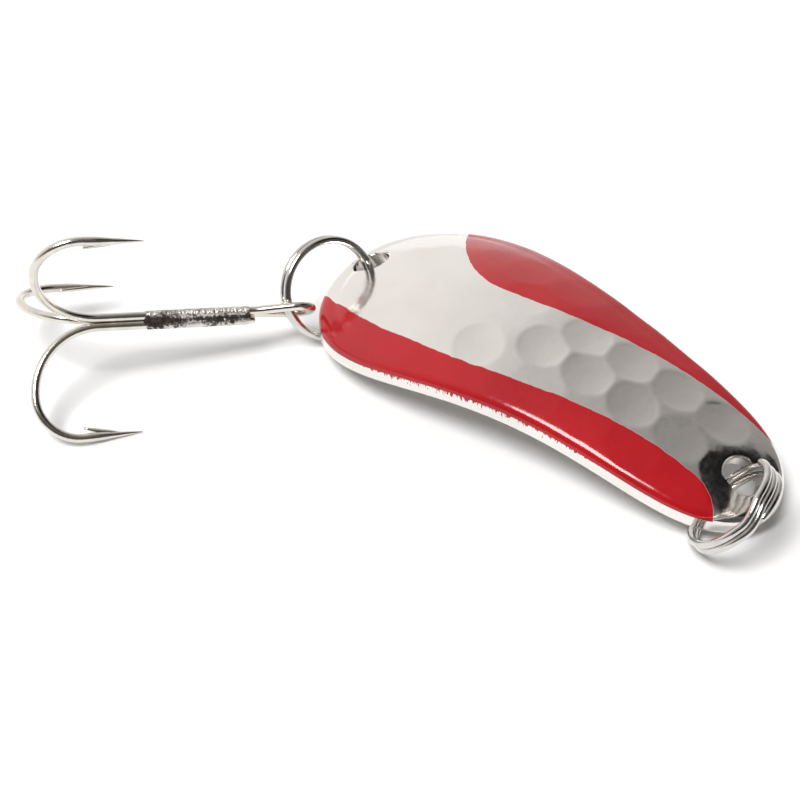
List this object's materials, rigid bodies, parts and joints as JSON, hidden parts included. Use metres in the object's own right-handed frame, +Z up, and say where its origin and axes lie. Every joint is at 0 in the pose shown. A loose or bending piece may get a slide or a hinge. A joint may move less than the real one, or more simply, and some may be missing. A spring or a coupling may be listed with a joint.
{
  "type": "spoon lure",
  "caption": "Arched metal casting spoon with split rings through its end holes and a barbed treble hook on the rear ring, lying on a level surface.",
  "frame": {"origin": "under the middle of the whole lure, on the surface it lies on", "axes": "+X along the blade from the hook end to the line end, +Y to the blade's left, +Z up off the surface"},
  "size_m": [0.0944, 0.06, 0.0247],
  "materials": {
    "blade_plating": "hammered bright nickel plate with red enamel stripes",
    "ring_steel": "bright nickel plate",
    "hook_wire": "warm bright plate",
    "braze": "rough, darkened by heat"
  },
  "bodies": {
    "blade": {"spoon_blade": "blade_plating"},
    "rear_ring": {"rear_split_ring": "ring_steel"},
    "front_ring": {"front_split_ring": "ring_steel"},
    "treble": {"treble_double_hook": "hook_wire", "treble_single_hook": "hook_wire", "treble_braze": "braze"}
  },
  "joints": [
    {"name": "rear_ring_swing", "type": "hinge", "parent": "blade", "child": "rear_ring", "pos_m": [-0.01673, 0.01606, 0.0064], "axis": [-0.4119, -0.0482, 0.91], "range_deg": [-155, 0]},
    {"name": "front_ring_swing", "type": "hinge", "parent": "blade", "child": "front_ring", "pos_m": [0.03977, 0.01606, 0.00501], "axis": [0.3465, -0.0496, 0.9367], "range_deg": [0, 125]},
    {"name": "treble_swing", "type": "hinge", "parent": "rear_ring", "child": "treble", "pos_m": [-0.01921, 0.00363, 0.00579], "axis": [0.5852, -0.5053, -0.6342], "range_deg": [-110, 60]}
  ]
}
